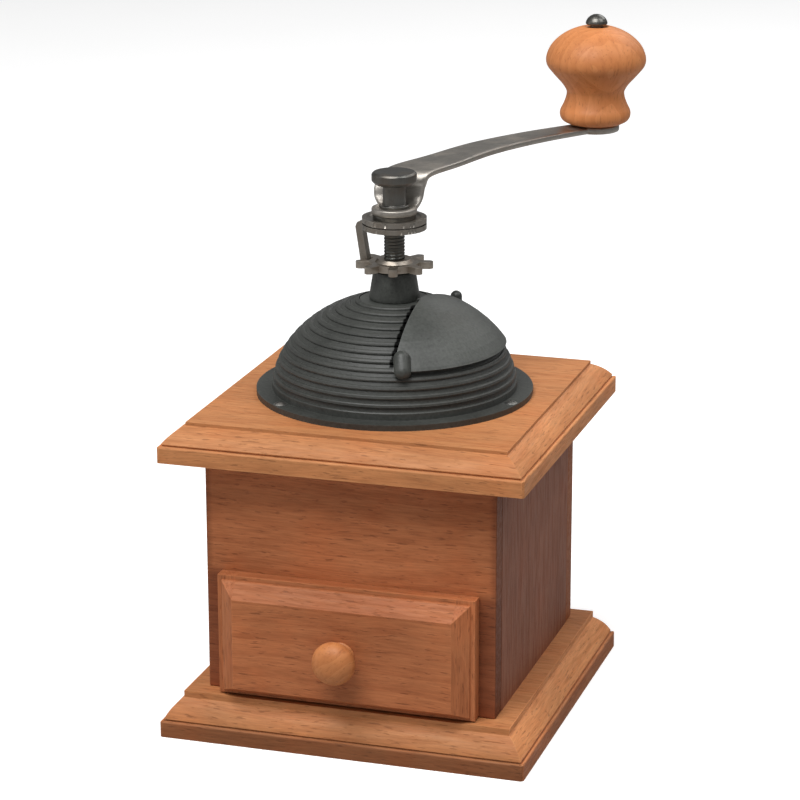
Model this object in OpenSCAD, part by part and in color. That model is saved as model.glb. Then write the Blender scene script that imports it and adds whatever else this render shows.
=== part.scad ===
// Hand crank box mill for coffee: a moulded wooden box with a drawer, a ridged cast
// dome hopper with a swinging shutter, a conical burr set under the top board and a
// cranked spindle with an adjusting nut above the dome.
// +Z is up, the drawer faces -Y, and the origin is the middle of the base's underside.

/* [Box] */
// Width and depth of the base board
base_w = 140; // [130:1:160]
// Thickness of the base board
base_t = 16.5; // [15:0.5:20]
// Width and depth of the top board
top_w = 137.9; // [130:0.1:158]
// Thickness of the top board
top_t = 13.9; // [13.5:0.1:18]
// Outer width and depth of the box between the boards
body_w = 110.8; // [106:0.1:118]
// Height of the box walls
body_h = 90.3; // [86:0.1:110]
// Thickness of the box walls
wall_t = 8; // [6:0.5:8.5]
// Radius of the shallow curve in the moulding of both boards
slope_r = 18; // [12:1:40]

/* [Drawer] */
// Width of the drawer's front panel
drawer_front_w = 98.4; // [94:0.1:104]
// Height of the drawer's front panel
drawer_front_h = 46.2; // [44:0.1:50]
// Outer width of the drawer's box
drawer_w = 86; // [70:1:86]
// Height of the drawer's sides
drawer_h = 40; // [30:1:40]
// Length of the drawer's box behind its front
drawer_l = 97; // [60:1:99]
// Radius of the drawer's knob
knob_r = 8.1; // [6:0.1:9]

/* [Hopper] */
// Radius of the dome at its foot
dome_r = 46; // [44:0.1:47]
// Height of the dome above its flange
dome_h = 35.5; // [34:0.1:37]
// Radius of the flange round the dome's foot
flange_r = 51.8; // [51:0.1:54]
// Number of cast ridges round the dome
ridges = 13; // [8:1:14]
// Depth of the grooves between the ridges
ridge_depth = 0.9; // [0.3:0.1:1.1]

/* [Grinding unit] */
// Radius of the spindle
spindle_r = 3.9; // [3.5:0.1:4]
// Radius of the outer burr
burr_r = 22; // [21:0.5:24]
// Radial gap between the two burrs
burr_gap = 0.6; // [0.5:0.05:0.8]
// Number of teeth on each burr
burr_teeth = 12; // [8:1:16]
// Number of turns of the spindle's spring
spring_turns = 9; // [6:1:11]

/* [Crank] */
// Distance from the spindle to the grip
crank_l = 102.4; // [90:0.1:110]
// Direction of the crank, anticlockwise from the right-hand side
crank_turn = 58; // [50:1:66]
// Largest radius of the wooden grip
grip_r = 19.3; // [17:0.1:21]

/* [Hidden] */
$fn = 64;

wood = "peru";
cast = "dimgray";
steel = "gray";
eps = 0.01;

// Boards: a lip, a fillet, a shallow curve and a step up to the flat
lip_h = 6.2;
lip_round = 0.8;
fillet_in = 1.4;
fillet_rise = 0.8;
corner_round = 1.2;
base_step = [7.3, 2.5];
top_step = [8.4, 1.3];
top_z = base_t + body_h;
deck_z = top_z + top_t;
inner_w = body_w - 2 * wall_t;

// Drawer opening and shelf
drawer_gap = 0.6;
opening_w = drawer_w + 2 * drawer_gap;
opening_h = drawer_h + 2;
drawer_z = base_t + 0.5;
drawer_side_t = 5;
drawer_bottom_t = 3;
front_gap = 0.2;
front_lip_t = 5.4;
front_rise = 5.5;
front_bevel = 7.4;
front_bevel_low = 4;
front_lip = 1.8;
front_z = base_t + 0.7;
knob_z = 39;
shelf_z = base_t + 44;
shelf_t = 5;
shelf_hole_r = 30;

// Dome
flange_t = 2.2;
dome_t = 3;
dome_foot_z = deck_z + flange_t;
dome_power = 1.91;
seat_z = dome_foot_z + dome_h - 3;
recess_r = 13.2;
boss_r = 11;
boss_h = 8;
sleeve_r = 7;
screw_count = 3;
screw_turn = 108;
screw_ring_r = 48.95;

// Shutter: its straight edges stand off the spindle's axis by shutter_edge
shutter_edge = 11.8;
shutter_spread = 20;
shutter_low_z = dome_foot_z + 17.1;
shutter_lift = 0.8;
shutter_t = 1;
hub_in_r = 8.95;
hub_r = 12.9;
hub_t = 0.9;
mouth_margin = 3;
mouth_r = 36.5;
stop_r = 2.2;
stop_ring_r = 27.5;
tab_turn = -68.6;
tab_lean = 38;

// Neck and adjusting parts
collar_z = seat_z + 1.2;
neck_low_r = 9.4;
neck_top_r = 7.9;
neck_top_z = seat_z + 11.8;
thrust_t = 0.75;
nut_z = neck_top_z + 0.05 + thrust_t + 0.05;
nut_t = 2.6;
lobes = 8;
lobe_turn = 15;
finger_turn = lobe_turn + 180 - 180 / lobes;
plate_z = seat_z + 27.8;
plate_t = 4.4;
plate_r = 12;
eye_z = seat_z + 33.3;
eye_t = 2.5;
eye_r = 8.45;
stud_r = 2.9;
head_z = seat_z + 44.4;
head_r = 8.4;
head_t = 4.7;

// Grinding unit below the deck
housing_t = 2.4;
housing_flange_r = 46.3;
housing_mouth_r = 41;
burr_low_z = deck_z - 41.7;
burr_h = 18;
burr_top_z = burr_low_z + burr_h;
burr_low_r = 18.9;
burr_slope = 1 / 3;
bridge_z = burr_low_z - 5;
bridge_t = 4;
bridge_l = 66;
bridge_w = 12;
bridge_screw_x = 28;
run_gap = 0.05;
spindle_low_z = bridge_z - 6;
spring_r = 6.2;
wire_r = 0.7;

// Grip
grip_x = crank_l * cos(crank_turn);
grip_y = crank_l * sin(crank_turn);
end_eye_z = eye_z + 17.2;
end_eye_t = 2.6;
end_eye_r = 9.4;
grip_z = end_eye_z + end_eye_t + 0.4;
axle_r = 2.5;
axle_head_z = grip_z + 38.4;

// Centre of the arc of radius r that bulges up and outwards from p to q
function arc_centre(p, q, r) =
    let (run = q - p, half = norm(run) / 2, away = [run[1], -run[0]] / norm(run))
    (p + q) / 2 + away * sqrt(r * r - half * half);

// Right half of a moulded board's section; step is the step's distance in and its height
module half_section(half, t, step) {
    low = [fillet_in, lip_h + fillet_rise];
    high = [step[0], t - step[1]];
    centre = arc_centre(low, high, slope_r);
    difference() {
        union() {
            square([half, lip_h - lip_round]);
            square([half - lip_round, lip_h]);
            translate([half - lip_round, lip_h - lip_round]) circle(r = lip_round);
            square([half - step[0], t]);
            intersection() {
                translate([half - centre[0], centre[1]]) circle(r = slope_r);
                translate([half - step[0] - 1, 0]) square([step[0] + 1 - fillet_in, high[1]]);
            }
        }
        translate([half - fillet_in, lip_h + 0.1]) circle(r = 0.4, $fn = 24);
    }
}

module board_section(w, t, step) {
    half_section(w / 2, t, step);
    mirror([1, 0]) half_section(w / 2, t, step);
}

// A board with the moulding mitred round its four sides and its upright corners rounded
module moulded_board(w, t, step) {
    straight = w - 2 * corner_round;
    intersection() {
        rotate([90, 0, 0]) linear_extrude(height = w, center = true) board_section(w, t, step);
        rotate([90, 0, 90]) linear_extrude(height = w, center = true) board_section(w, t, step);
        translate([0, 0, -1]) linear_extrude(height = t + 2) union() {
            square([w, straight], center = true);
            square([straight, w], center = true);
            for (side_x = [-1, 1], side_y = [-1, 1])
                translate([side_x * straight / 2, side_y * straight / 2]) circle(r = corner_round);
        }
    }
}

module at_wall_screws() {
    x = body_w / 2 - wall_t / 2;
    for (side_x = [-1, 1], side_y = [-1, 1])
        translate([side_x * x, side_y * 34, 0]) children();
}

module base_board() {
    color(wood) difference() {
        moulded_board(base_w, base_t, base_step);
        at_wall_screws() translate([0, 0, -1]) cylinder(r = 4.4, h = 4);
        at_wall_screws() cylinder(r = 2, h = base_t + 1);
    }
}

// Cheese-headed wood screws driven up through the base into the side walls
module base_screws() {
    color(steel) at_wall_screws() difference() {
        union() {
            translate([0, 0, 0.8]) cylinder(r = 4, h = 2.2);
            translate([0, 0, 3]) cylinder(r = 2, h = base_t + 9);
            translate([0, 0, base_t + 12]) cylinder(r1 = 2, r2 = 0.3, h = 4);
        }
        translate([-5, -0.5, 0]) cube([10, 1, 1.8]);
    }
}

module screw_pilots() {
    at_wall_screws() translate([0, 0, base_t - 1]) cylinder(r = 2, h = 13);
    at_wall_screws() translate([0, 0, base_t + 12 - eps]) cylinder(r1 = 2, r2 = 0.3, h = 4);
}

module side_wall(side) {
    low_x = side > 0 ? inner_w / 2 : -body_w / 2;
    difference() {
        translate([low_x, -inner_w / 2, base_t]) cube([wall_t, inner_w, body_h]);
        screw_pilots();
    }
}

module left_wall() { color(wood) side_wall(-1); }
module right_wall() { color(wood) side_wall(1); }

module back_panel() {
    color(wood) translate([-body_w / 2, inner_w / 2, base_t]) cube([body_w, wall_t, body_h]);
}

module front_panel() {
    color(wood) difference() {
        translate([-body_w / 2, -body_w / 2, base_t]) cube([body_w, wall_t, body_h]);
        translate([-opening_w / 2, -body_w / 2 - 1, base_t - 1])
            cube([opening_w, wall_t + 2, opening_h + 1]);
    }
}

// Inner board that closes the drawer's space and guides the grounds into it
module drawer_shelf() {
    color(wood) difference() {
        translate([-inner_w / 2, -inner_w / 2, shelf_z]) cube([inner_w, inner_w, shelf_t]);
        translate([0, 0, shelf_z - 1]) cylinder(r = shelf_hole_r, h = shelf_t + 2);
    }
}

module at_flange_screws() {
    for (i = [0 : screw_count - 1])
        rotate([0, 0, screw_turn + i * 360 / screw_count]) translate([screw_ring_r, 0, 0]) children();
}

module top_board() {
    color(wood) difference() {
        translate([0, 0, top_z]) moulded_board(top_w, top_t, top_step);
        translate([0, 0, top_z - 1]) cylinder(r = housing_mouth_r + housing_t + 0.6, h = top_t + 2);
        translate([0, 0, deck_z - housing_t]) cylinder(r = housing_flange_r + 0.2, h = housing_t + 1);
        at_flange_screws() translate([0, 0, deck_z - 10]) cylinder(r = 1.4, h = 11);
    }
}

// Drawer front: a lip that overlaps the box and a raised field with sloping sides
module drawer_front() {
    back_y = -body_w / 2 - front_gap;
    lip_y = back_y - front_lip_t;
    x = drawer_front_w / 2;
    low = front_z;
    high = front_z + drawer_front_h;
    field_low = low + front_bevel_low;
    field_high = high - front_bevel;
    color(wood) difference() {
        intersection() {
            // side view
            rotate([90, 0, 90]) linear_extrude(height = drawer_front_w, center = true) polygon([
                [back_y, low], [lip_y, low], [lip_y, low + 0.8],
                [lip_y - front_rise, field_low], [lip_y - front_rise, field_high],
                [lip_y - 0.8, high - front_lip], [lip_y, high - front_lip],
                [lip_y, high], [back_y, high]]);
            // plan view
            linear_extrude(height = high + 1) polygon([
                [-x, back_y], [-x, lip_y], [-x + front_lip, lip_y], [-x + front_lip, lip_y - 0.8],
                [-x + front_bevel, lip_y - front_rise], [x - front_bevel, lip_y - front_rise],
                [x - front_lip, lip_y - 0.8], [x - front_lip, lip_y], [x, lip_y], [x, back_y]]);
        }
        knob_screw_body();
    }
}

module drawer_side(side) {
    low_x = side > 0 ? drawer_w / 2 - drawer_side_t : -drawer_w / 2;
    translate([low_x, -body_w / 2 - front_gap, drawer_z]) cube([drawer_side_t, drawer_l, drawer_h]);
}

module drawer_left_side() { color(wood) drawer_side(-1); }
module drawer_right_side() { color(wood) drawer_side(1); }

module drawer_back() {
    w = drawer_w - 2 * drawer_side_t;
    y = -body_w / 2 - front_gap + drawer_l - drawer_side_t;
    color(wood) translate([-w / 2, y, drawer_z]) cube([w, drawer_side_t, drawer_h]);
}

module drawer_bottom() {
    w = drawer_w - 2 * drawer_side_t;
    color("burlywood") translate([-w / 2, -body_w / 2 - front_gap, drawer_z])
        cube([w, drawer_l - drawer_side_t, drawer_bottom_t]);
}

// Points of an elliptical arc, used for turned outlines
function arc_points(cx, cy, rx, ry, from, to, steps) =
    [for (i = [0 : steps]) let (a = from + (to - from) * i / steps) [cx + rx * cos(a), cy + ry * sin(a)]];

// Turned knob: a short waisted neck and a flattened ball
module knob_solid() {
    rotate_extrude() polygon(concat(
        [[0, 0], [5.4, 0]],
        arc_points(6.2, 2.4, 2, 2.2, 250, 110, 5),
        arc_points(0, 8.2, knob_r, 5.2, -32, 90, 14)));
}

module at_knob() {
    translate([0, -body_w / 2 - front_gap - front_lip_t - front_rise, knob_z]) rotate([90, 0, 0]) children();
}

module drawer_knob() {
    color("sandybrown") difference() {
        at_knob() knob_solid();
        knob_screw_body();
    }
}

module knob_screw_body() {
    y = -body_w / 2 - front_gap;
    translate([0, y, knob_z]) rotate([90, 0, 0]) {
        cylinder(r = 1.6, h = 16);
        translate([0, 0, 16 - eps]) cylinder(r1 = 1.6, r2 = 0.3, h = 2.5);
    }
}

module knob_screw() {
    y = -body_w / 2 - front_gap;
    color(steel) difference() {
        union() {
            knob_screw_body();
            translate([0, y + 1.8, knob_z]) rotate([90, 0, 0]) cylinder(r = 3.2, h = 1.8);
        }
        translate([-4, y + 1.1, knob_z - 0.4]) cube([8, 2, 0.8]);
    }
}

// Outline of the dome at the angle a above its foot, grown outwards by grow
function dome_point(a, grow) = [
    (dome_r + grow) * pow(cos(a), 2 / dome_power),
    dome_foot_z + (dome_h + grow) * pow(sin(a), 2 / dome_power)];

// Smooth solid of the dome, down to low_z
module dome_solid(grow, low_z) {
    rotate_extrude() polygon(concat(
        [[0, low_z], [dome_r + grow, low_z]],
        [for (a = [0 : 5 : 85]) dome_point(a, grow)],
        [[0, dome_foot_z + dome_h + grow]]));
}

// The dome's outer skin with rounded ridges and grooves of about the same width
module ridged_solid() {
    first = 5;
    pitch = 5.2;
    shoulder = 0.25;
    groove = [
        [0, -shoulder], [0.4, -ridge_depth], [2.4, -ridge_depth], [2.8, -shoulder], [3.4, 0], [4.6, 0]];
    rotate_extrude() polygon(concat(
        [[0, deck_z], [dome_r, deck_z], dome_point(0, 0), dome_point(first - 0.6, 0)],
        [for (i = [0 : ridges - 1], turn = groove) dome_point(first + i * pitch + turn[0], turn[1])],
        [dome_point(first + ridges * pitch, 0), dome_point(78, 0), dome_point(84, 0)],
        [[0, dome_foot_z + dome_h]]));
}

// Plan of the shutter's blade or of the mouth, with its two straight edges
module sector_plan(edge, r) {
    size = 2 * r;
    intersection() {
        circle(r = r);
        translate([edge, -r]) square([size, size]);
        rotate([0, 0, -shutter_spread]) translate([edge, -r]) square([size, size]);
    }
}

module dome_hopper() {
    color(cast) difference() {
        union() {
            difference() {
                union() {
                    ridged_solid();
                    translate([0, 0, deck_z]) cylinder(r = flange_r, h = flange_t);
                }
                dome_solid(-dome_t, deck_z - 1);
            }
            translate([0, 0, seat_z - boss_h]) cylinder(r = boss_r, h = boss_h);
        }
        translate([0, 0, seat_z]) cylinder(r = recess_r, h = 10);
        translate([0, 0, seat_z - boss_h - 1]) cylinder(r = sleeve_r, h = boss_h + 2);
        translate([0, 0, deck_z + 8]) linear_extrude(height = 60)
            sector_plan(shutter_edge + mouth_margin, mouth_r);
        at_flange_screws() translate([0, 0, deck_z - 1]) cylinder(r = 1.4, h = 6);
        at_flange_screws() translate([0, 0, dome_foot_z - 1]) cylinder(r1 = 1.4, r2 = 2.5, h = 1);
        at_flange_screws() translate([0, 0, dome_foot_z - eps]) cylinder(r = 2.5, h = 6);
        shutter_stop_body();
    }
}

module flange_screws() {
    color(steel) at_flange_screws() difference() {
        union() {
            translate([0, 0, deck_z - 9]) cylinder(r = 1.4, h = 9 + flange_t - 1);
            translate([0, 0, dome_foot_z - 1]) cylinder(r1 = 1.4, r2 = 2.4, h = 1);
            intersection() {
                translate([0, 0, dome_foot_z]) cylinder(r = 2.4, h = 2);
                translate([0, 0, dome_foot_z - 3]) sphere(r = 3.85);
            }
        }
        translate([-3, -0.3, dome_foot_z + 0.2]) cube([6, 0.6, 2]);
    }
}

// Angle of the peg that the shutter's trailing edge rests on
function edge_angle(r) = acos(shutter_edge / r);
stop_turn = edge_angle(stop_ring_r) - shutter_spread + asin((stop_r + 0.3) / stop_ring_r);

module shutter_stop_body() {
    rotate([0, 0, stop_turn]) translate([stop_ring_r, 0, dome_foot_z + 25.5]) cylinder(r = stop_r, h = 4.9);
}

module shutter_stop() {
    color(cast) union() {
        shutter_stop_body();
        rotate([0, 0, stop_turn]) translate([stop_ring_r, 0, dome_foot_z + 30.3])
            intersection() {
                sphere(r = stop_r);
                translate([-3, -3, 0]) cube([6, 6, 3]);
            }
    }
}

// Cast neck that carries the spindle's upper bush and traps the shutter's hub
module neck_sleeve() {
    color(cast) difference() {
        union() {
            translate([0, 0, seat_z - boss_h]) cylinder(r = sleeve_r, h = boss_h + 0.01);
            translate([0, 0, seat_z]) cylinder(r = hub_in_r - run_gap, h = collar_z - seat_z + 0.01);
            translate([0, 0, collar_z]) cylinder(r = neck_low_r, h = 1.2);
            translate([0, 0, collar_z + 1.2])
                cylinder(r1 = neck_low_r, r2 = neck_top_r, h = neck_top_z - collar_z - 1.2);
        }
        translate([0, 0, seat_z - boss_h - 1]) cylinder(r = 5.8, h = 40);
    }
}

module upper_bush() {
    color("darkgoldenrod") difference() {
        translate([0, 0, seat_z - boss_h]) cylinder(r = 5.8, h = neck_top_z - seat_z + boss_h);
        translate([0, 0, seat_z - boss_h - 1]) cylinder(r = spindle_r + run_gap, h = 40);
    }
}

module thrust_washer() {
    color(steel) translate([0, 0, neck_top_z]) difference() {
        cylinder(r = 7.4, h = thrust_t);
        translate([0, 0, -1]) cylinder(r = spindle_r + 0.3, h = 3);
    }
}

module hopper_shutter() {
    color(cast) union() {
        // blade that follows the dome
        intersection() {
            difference() {
                dome_solid(shutter_lift + shutter_t, deck_z);
                dome_solid(shutter_lift, deck_z - 1);
                cylinder(r = hub_r - 0.5, h = 300);
            }
            translate([0, 0, shutter_low_z]) linear_extrude(height = 40) sector_plan(shutter_edge, 60);
        }
        // riser from the hub to the blade
        intersection() {
            translate([0, 0, seat_z + 0.15]) difference() {
                cylinder(r = hub_r, h = 2.9);
                translate([0, 0, -1]) cylinder(r = hub_r - 1, h = 6);
            }
            translate([0, 0, seat_z]) linear_extrude(height = 10) sector_plan(shutter_edge - 1, 60);
        }
        translate([0, 0, seat_z + 0.15]) difference() {
            cylinder(r = hub_r, h = hub_t);
            translate([0, 0, -1]) cylinder(r = hub_in_r, h = 3);
        }
    }
}

// Finger tab at the lower end of the shutter's leading edge
module shutter_tab() {
    centre = dome_point(32, 1.2);
    color(cast) difference() {
        rotate([0, 0, tab_turn]) translate([centre[0], 0, centre[1]]) rotate([0, -tab_lean, 0]) {
            translate([0, 0, -2.4]) cylinder(r = 3.2, h = 4.8);
            for (side = [-1, 1]) translate([0, 0, side * 2.4]) sphere(r = 3.2);
        }
        dome_solid(shutter_lift + shutter_t + 0.01, dome_foot_z - 5);
    }
}

// Funnel and burr seat hung in the top board
module burr_housing() {
    funnel_z = burr_top_z + 1;
    seat_r = burr_r + 0.05;
    color(cast) difference() {
        union() {
            translate([0, 0, deck_z - housing_t]) cylinder(r = housing_flange_r, h = housing_t);
            translate([0, 0, funnel_z]) cylinder(
                r1 = burr_r + housing_t, r2 = housing_mouth_r + housing_t, h = deck_z - funnel_z - housing_t);
            translate([0, 0, burr_low_z - 1]) cylinder(r = burr_r + housing_t, h = burr_h + 2);
            for (side = [-1, 1])
                translate([side * bridge_screw_x, 0, burr_low_z - 1]) cylinder(r = 4.6, h = 16);
        }
        translate([0, 0, funnel_z + 2.4])
            cylinder(r1 = burr_r - 2, r2 = housing_mouth_r, h = deck_z - funnel_z - 2.4 + eps);
        translate([0, 0, burr_low_z - 2]) cylinder(r = seat_r, h = burr_h + 2.1);
        translate([0, 0, burr_top_z - 1]) cylinder(r = burr_r - 2, h = 6);
        for (side = [-1, 1])
            translate([side * bridge_screw_x, 0, burr_low_z - 2]) cylinder(r = 1.6, h = 12);
    }
}

function cone_r(z, gap) = burr_low_r - gap - (z - burr_low_z) * burr_slope;

// Slanted cutters that leave the teeth of a burr
module tooth_cutters(gap, depth, wide) {
    for (i = [0 : burr_teeth - 1]) rotate([0, 0, i * 360 / burr_teeth])
        translate([cone_r(burr_low_z + burr_h / 2, gap), 0, burr_low_z + burr_h / 2])
            rotate([14, -atan(burr_slope), 0]) cube([depth, wide, burr_h + 16], center = true);
}

module outer_burr() {
    color(steel) difference() {
        translate([0, 0, burr_low_z]) cylinder(r = burr_r, h = burr_h);
        translate([0, 0, burr_low_z - 1])
            cylinder(r1 = cone_r(burr_low_z - 1, 0), r2 = cone_r(burr_top_z + 1, 0), h = burr_h + 2);
        tooth_cutters(0, 2.4, 1.8);
    }
}

module inner_burr() {
    low = burr_low_z + 1.2;
    top = burr_top_z - 1.2;
    color(steel) difference() {
        union() {
            translate([0, 0, low])
                cylinder(r1 = cone_r(low, burr_gap), r2 = cone_r(top, burr_gap), h = top - low);
            translate([0, 0, top]) cylinder(r1 = cone_r(top, burr_gap), r2 = 6.5, h = 4);
        }
        tooth_cutters(burr_gap, 2.2, 1.6);
        translate([0, 0, low - 1]) cylinder(r = spindle_r, h = 40);
    }
}

module bearing_bridge() {
    color(steel) difference() {
        union() {
            translate([-bridge_l / 2, -bridge_w / 2, bridge_z]) cube([bridge_l, bridge_w, bridge_t]);
            translate([0, 0, bridge_z - 3]) cylinder(r = 8, h = bridge_t + 3);
        }
        translate([0, 0, bridge_z - 4]) cylinder(r = 5.6, h = 12);
        for (side = [-1, 1]) translate([side * bridge_screw_x, 0, bridge_z - 1]) cylinder(r = 1.6, h = 8);
    }
}

module lower_bush() {
    color("darkgoldenrod") translate([0, 0, bridge_z - 3]) difference() {
        cylinder(r = 5.6, h = bridge_t + 3);
        translate([0, 0, -1]) cylinder(r = spindle_r + run_gap, h = 12);
    }
}

module bridge_screws() {
    color(steel) for (side = [-1, 1]) translate([side * bridge_screw_x, 0, 0]) difference() {
        union() {
            translate([0, 0, bridge_z]) cylinder(r = 1.6, h = 12);
            translate([0, 0, bridge_z - 2]) cylinder(r = 3, h = 2);
        }
        translate([-4, -0.4, bridge_z - 3]) cube([8, 0.8, 2]);
    }
}

// Coil spring between the upper bush and the inner burr
spring_low = burr_top_z + 4;
spring_high = seat_z - boss_h;
coil_steps = 16;
wire_sides = 6;
function coil_centre(i) =
    let (a = i * 360 / coil_steps, n = spring_turns * coil_steps)
    [spring_r * cos(a), spring_r * sin(a),
        spring_low + wire_r + (spring_high - spring_low - 2 * wire_r) * i / n];
function coil_ring(i) =
    let (a = i * 360 / coil_steps, c = coil_centre(i))
    [for (k = [0 : wire_sides - 1]) let (b = k * 360 / wire_sides)
        [c[0] + wire_r * cos(b) * cos(a), c[1] + wire_r * cos(b) * sin(a), c[2] + wire_r * sin(b)]];

module spindle_spring() {
    rings = spring_turns * coil_steps;
    points = [for (i = [0 : rings]) each coil_ring(i)];
    sides = [for (i = [0 : rings - 1], k = [0 : wire_sides - 1]) let (n = (k + 1) % wire_sides)
        [i * wire_sides + k, (i + 1) * wire_sides + k, (i + 1) * wire_sides + n, i * wire_sides + n]];
    first = [for (k = [0 : wire_sides - 1]) k];
    last = [for (k = [wire_sides - 1 : -1 : 0]) rings * wire_sides + k];
    color("silver") polyhedron(points, concat(sides, [first], [last]));
}

module spring_washer() {
    color(steel) translate([0, 0, burr_top_z + 2.8]) difference() {
        cylinder(r = 8, h = 1.2);
        translate([0, 0, -1]) cylinder(r = spindle_r, h = 4);
    }
}

module burr_nut() {
    color(steel) translate([0, 0, burr_low_z + 0.1]) difference() {
        cylinder(r = 6.5, h = 1.1);
        translate([0, 0, -1]) cylinder(r = spindle_r, h = 4);
    }
}

// Spindle with a shoulder and a thinner threaded end above the crank
module spindle() {
    color("darkgray") union() {
        translate([0, 0, spindle_low_z]) cylinder(r = spindle_r, h = eye_z + eye_t - spindle_low_z);
        translate([0, 0, eye_z + eye_t - eps]) cylinder(r = stud_r, h = head_z - eye_z - eye_t);
    }
}

// Star-shaped nut that sets the grind
module adjusting_nut() {
    color(steel) translate([0, 0, nut_z]) difference() {
        union() {
            cylinder(r = 9.5, h = nut_t);
            for (i = [0 : lobes - 1]) rotate([0, 0, lobe_turn + i * 360 / lobes]) {
                translate([12.7, 0, 0]) cylinder(r = 1.7, h = nut_t);
                translate([6, -1.7, 0]) cube([6.7, 3.4, nut_t]);
            }
            translate([0, 0, nut_t]) cylinder(r1 = 7.2, r2 = 6.2, h = 1.2);
        }
        translate([0, 0, -1]) cylinder(r = spindle_r + run_gap, h = 8);
    }
}

// Round plate keyed to the spindle, with a rolled double rim and a finger bent down
// between the nut's lobes
module lock_plate() {
    rim_t = 1.9;
    color(steel) difference() {
        union() {
            translate([0, 0, plate_z]) cylinder(r = plate_r, h = rim_t);
            translate([0, 0, plate_z]) cylinder(r = plate_r - 0.9, h = plate_t - 1);
            translate([0, 0, plate_z + plate_t - rim_t]) cylinder(r = plate_r, h = rim_t);
            rotate([90, 0, finger_turn]) linear_extrude(height = 3.4, center = true) polygon([
                [9, plate_z + rim_t], [12.6, plate_z + rim_t], [14.5, plate_z + 1.2],
                [15.2, plate_z - 0.5], [12.9, nut_z + 0.2], [10, nut_z + 0.2],
                [12.5, plate_z - 0.5], [11.6, plate_z], [9, plate_z]]);
        }
        translate([0, 0, plate_z + plate_t - 0.6]) cylinder(r1 = plate_r - 2.2, r2 = plate_r - 1.4, h = 1);
        translate([0, 0, plate_z - 1]) cylinder(r = spindle_r, h = 7);
    }
}

module crank_spacer() {
    floor_z = plate_z + plate_t - 0.6;
    color(steel) translate([0, 0, floor_z]) difference() {
        cylinder(r = 8, h = eye_z - floor_z);
        translate([0, 0, -1]) cylinder(r = spindle_r, h = 8);
    }
}

// Crank strap: centre points [x, y, z, width, turn] from the eye on the spindle to the
// grip's eye; turn is how far the strap is turned on from the crank's own direction
strap_t = 2.4;
strap_end_z = end_eye_z + end_eye_t / 2;
strap_path = [
    [0, 4.2, eye_z + 1.25, 12, 34],
    [-0.4, 6.4, eye_z + 1.6, 15, 38],
    [-1, 8.6, eye_z + 4.2, 18.2, 41],
    [-0.8, 10.4, eye_z + 8.6, 19, 38],
    [1.4, 14.6, eye_z + 12.6, 18.6, 22],
    [grip_x * 0.2, grip_y * 0.31, strap_end_z - 3.7, 17, 6],
    [grip_x * 0.4, grip_y * 0.505, strap_end_z - 1.6, 15, 1],
    [grip_x * 0.67, grip_y * 0.735, strap_end_z - 0.4, 12.6, 0],
    [grip_x, grip_y, strap_end_z, 10.5, 0]];
strap_steps = 5;
last_span = len(strap_path) - 2;

function path_point(i) = strap_path[max(0, min(len(strap_path) - 1, i))];
// Catmull-Rom curve through the path's points
function curve(i, t) =
    let (a = path_point(i - 1), b = path_point(i), c = path_point(i + 1), d = path_point(i + 2))
    0.5 * (2 * b + (c - a) * t + (2 * a - 5 * b + 4 * c - d) * t * t + (3 * b - a - 3 * c + d) * t * t * t);
strap_line = [for (i = [0 : last_span], k = [0 : strap_steps - 1]) curve(i, k / strap_steps), path_point(99)];
function unit(v) = v / norm(v);
function strap_ring(i) =
    let (
        p = strap_line[i],
        q = strap_line[min(i + 1, len(strap_line) - 1)] - strap_line[max(i - 1, 0)],
        run = unit([q[0], q[1], q[2]]),
        way = crank_turn + p[4],
        side = [-sin(way), cos(way), 0],
        up = unit(cross(run, side)),
        c = [p[0], p[1], p[2]],
        w = side * p[3] / 2,
        h = up * strap_t / 2)
    [c - w - h, c + w - h, c + w + h, c - w + h];

module strap() {
    n = len(strap_line);
    points = [for (i = [0 : n - 1]) each strap_ring(i)];
    sides = [for (i = [0 : n - 2], k = [0 : 3], half = [0, 1]) let (a = i * 4, b = a + 4, m = (k + 1) % 4)
        half == 0 ? [a + k, b + m, a + m] : [a + k, b + k, b + m]];
    ends = [[1, 2, 3], [0, 1, 3], [4 * n - 2, 4 * n - 3, 4 * n - 4], [4 * n - 1, 4 * n - 2, 4 * n - 4]];
    polyhedron(points, concat(sides, ends));
}

module crank_arm() {
    color("rosybrown") difference() {
        union() {
            strap();
            translate([0, 0, eye_z]) cylinder(r = eye_r, h = eye_t);
            translate([grip_x, grip_y, end_eye_z]) cylinder(r = end_eye_r, h = end_eye_t);
        }
        translate([0, 0, eye_z - 1]) cylinder(r = spindle_r, h = 5);
        translate([grip_x, grip_y, end_eye_z - 1]) cylinder(r = axle_r, h = 6);
    }
}

// Long-necked nut that clamps the crank
module crank_nut() {
    neck_z = eye_z + eye_t;
    color(steel) difference() {
        union() {
            translate([0, 0, neck_z]) cylinder(r = 5.6, h = 1);
            translate([0, 0, neck_z]) cylinder(r = 4.25, h = head_z - neck_z + 1);
            translate([0, 0, head_z]) cylinder(r1 = head_r - 1.4, r2 = head_r, h = 1.4);
            translate([0, 0, head_z + 1.4]) cylinder(r = head_r, h = head_t - 2.2);
            translate([0, 0, head_z + head_t - 0.8]) cylinder(r1 = head_r, r2 = head_r - 0.8, h = 0.8);
        }
        translate([0, 0, neck_z - 1]) cylinder(r = stud_r, h = head_z - neck_z + 1);
    }
}

// Rivet that carries the grip, with a smooth domed head above it
module grip_axle() {
    color(steel) translate([grip_x, grip_y, 0]) union() {
        translate([0, 0, end_eye_z - 0.9]) cylinder(r = 4.2, h = 0.9);
        translate([0, 0, end_eye_z - eps]) cylinder(r = axle_r, h = axle_head_z - end_eye_z + 0.5);
        translate([0, 0, axle_head_z]) rotate_extrude() polygon([
            [0, 0], [4.1, 0], [4.2, 0.6], [4, 1.4], [3.4, 2.4], [2.5, 3.2], [1.4, 3.75], [0, 3.95]]);
    }
}

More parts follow.
